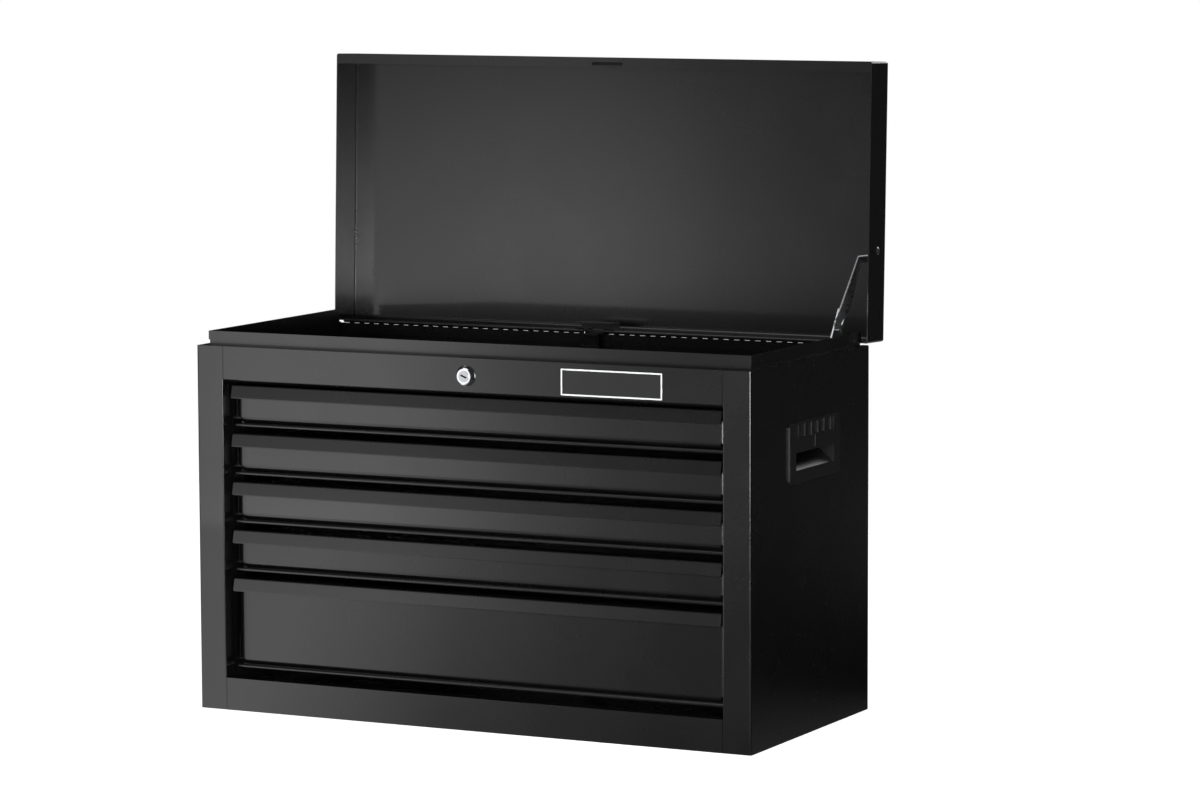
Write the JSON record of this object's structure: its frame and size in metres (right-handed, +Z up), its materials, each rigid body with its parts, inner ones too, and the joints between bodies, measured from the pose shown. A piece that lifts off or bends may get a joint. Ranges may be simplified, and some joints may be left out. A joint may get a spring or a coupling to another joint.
{
  "type": "five-drawer tool chest",
  "caption": "Machinist tool chest in black sheet steel: drawers on ball-bearing slides under a lift-up lid with an open till, a folding lid stay, a key lock and side handles.",
  "frame": {"origin": "centre of the case's bottom face, midway between the side panels and midway between the front face and the back panel", "axes": "+X to the right of someone who faces the drawers, -Y towards them, +Z up; drawn with the lid open and the drawers shut"},
  "size_m": [0.6656, 0.3601, 0.7009],
  "materials": {
    "paint": "gloss",
    "zinc": "satin",
    "slide_black": "satin",
    "chrome": "polished",
    "plastic": "satin",
    "plate": "satin",
    "spring_steel": "satin"
  },
  "bodies": {
    "case": {"side_panel_left": "paint", "side_panel_right": "paint", "back_panel": "paint", "bottom_pan": "paint", "top_rail": "paint", "bottom_rail": "paint", "till_rim": "paint", "till_floor": "paint", "slide_upright_left": "paint", "slide_upright_right": "paint", "nameplate": "plate", "lock_housing": "chrome", "lock_clip": "zinc", "handle_left": "plastic", "handle_right": "plastic", "lock_bar_guide": "paint", "lock_bar_spring": "spring_steel", "hinge_left_case_leaf": "paint", "hinge_right_case_leaf": "paint", "hinge_left_pin": "zinc", "hinge_right_pin": "zinc", "stay_case_pin": "zinc", "slide_1_outer": "slide_black", "slide_2_outer": "slide_black", "slide_3_outer": "slide_black", "slide_4_outer": "slide_black", "slide_5_outer": "slide_black"},
    "lid": {"lid_pan": "paint", "lid_front_channel": "paint", "lid_strike": "paint", "lid_lock_tab": "paint", "hinge_left_lid_leaf": "paint", "hinge_right_lid_leaf": "paint", "stay_lid_pin": "zinc"},
    "stay_upper": {"stay_upper_arm": "zinc", "stay_elbow_rivet": "zinc"},
    "stay_lower": {"stay_lower_arm": "zinc"},
    "lock": {"lock_plug": "chrome", "lock_cam": "zinc"},
    "lock_bar": {"lock_bar": "paint"},
    "drawer_1": {"drawer_1_body": "paint", "drawer_1_front": "paint", "slide_1_inner": "slide_black"},
    "cage_1": {"slide_1_cage": "zinc"},
    "drawer_2": {"drawer_2_body": "paint", "drawer_2_front": "paint", "slide_2_inner": "slide_black"},
    "cage_2": {"slide_2_cage": "zinc"},
    "drawer_3": {"drawer_3_body": "paint", "drawer_3_front": "paint", "slide_3_inner": "slide_black"},
    "cage_3": {"slide_3_cage": "zinc"},
    "drawer_4": {"drawer_4_body": "paint", "drawer_4_front": "paint", "slide_4_inner": "slide_black"},
    "cage_4": {"slide_4_cage": "zinc"},
    "drawer_5": {"drawer_5_body": "paint", "drawer_5_front": "paint", "slide_5_inner": "slide_black"},
    "cage_5": {"slide_5_cage": "zinc"}
  },
  "joints": [
    {"name": "lid_hinge", "type": "hinge", "parent": "case", "child": "lid", "pos_m": [0, 0.1485, 0.399], "axis": [1, 0, 0], "range_deg": [0, 92]},
    {"name": "stay_lower_pivot", "type": "hinge", "parent": "case", "child": "stay_lower", "pos_m": [0.3128, 0.071, 0.3665], "axis": [1, 0, 0], "range_deg": [0, 122.5]},
    {"name": "stay_upper_pivot", "type": "hinge", "parent": "lid", "child": "stay_upper", "pos_m": [0.3274, 0.1754, 0.4968], "axis": [1, 0, 0], "range_deg": [-103.5, 0]},
    {"name": "lock_turn", "type": "hinge", "parent": "case", "child": "lock", "pos_m": [0, -0.147, 0.378], "axis": [0, -1, 0], "range_deg": [0, 90]},
    {"name": "lock_bar_slide", "type": "slide", "parent": "case", "child": "lock_bar", "axis": [0, 0, -1], "range_m": [0, 0.005], "deforming": ["lock_bar_spring"]},
    {"name": "drawer_1_slide", "type": "slide", "parent": "case", "child": "drawer_1", "axis": [0, -1, 0], "range_m": [0, 0.19]},
    {"name": "cage_1_roll", "type": "slide", "parent": "case", "child": "cage_1", "axis": [0, -1, 0], "range_m": [0, 0.095]},
    {"name": "drawer_2_slide", "type": "slide", "parent": "case", "child": "drawer_2", "axis": [0, -1, 0], "range_m": [0, 0.19]},
    {"name": "cage_2_roll", "type": "slide", "parent": "case", "child": "cage_2", "axis": [0, -1, 0], "range_m": [0, 0.095]},
    {"name": "drawer_3_slide", "type": "slide", "parent": "case", "child": "drawer_3", "axis": [0, -1, 0], "range_m": [0, 0.19]},
    {"name": "cage_3_roll", "type": "slide", "parent": "case", "child": "cage_3", "axis": [0, -1, 0], "range_m": [0, 0.095]},
    {"name": "drawer_4_slide", "type": "slide", "parent": "case", "child": "drawer_4", "axis": [0, -1, 0], "range_m": [0, 0.19]},
    {"name": "cage_4_roll", "type": "slide", "parent": "case", "child": "cage_4", "axis": [0, -1, 0], "range_m": [0, 0.095]},
    {"name": "drawer_5_slide", "type": "slide", "parent": "case", "child": "drawer_5", "axis": [0, -1, 0], "range_m": [0, 0.19]},
    {"name": "cage_5_roll", "type": "slide", "parent": "case", "child": "cage_5", "axis": [0, -1, 0], "range_m": [0, 0.095]}
  ],
  "couplings": [
    {"joint": "stay_lower_pivot", "follows": "lid_hinge", "ratio": 1.329},
    {"joint": "stay_upper_pivot", "follows": "lid_hinge", "ratio": -1.121},
    {"joint": "lock_bar_slide", "follows": "lid_hinge", "m_per_rad": 0.0031077},
    {"joint": "cage_1_roll", "follows": "drawer_1_slide", "ratio": 0.5},
    {"joint": "cage_2_roll", "follows": "drawer_2_slide", "ratio": 0.5},
    {"joint": "cage_3_roll", "follows": "drawer_3_slide", "ratio": 0.5},
    {"joint": "cage_4_roll", "follows": "drawer_4_slide", "ratio": 0.5},
    {"joint": "cage_5_roll", "follows": "drawer_5_slide", "ratio": 0.5}
  ]
}
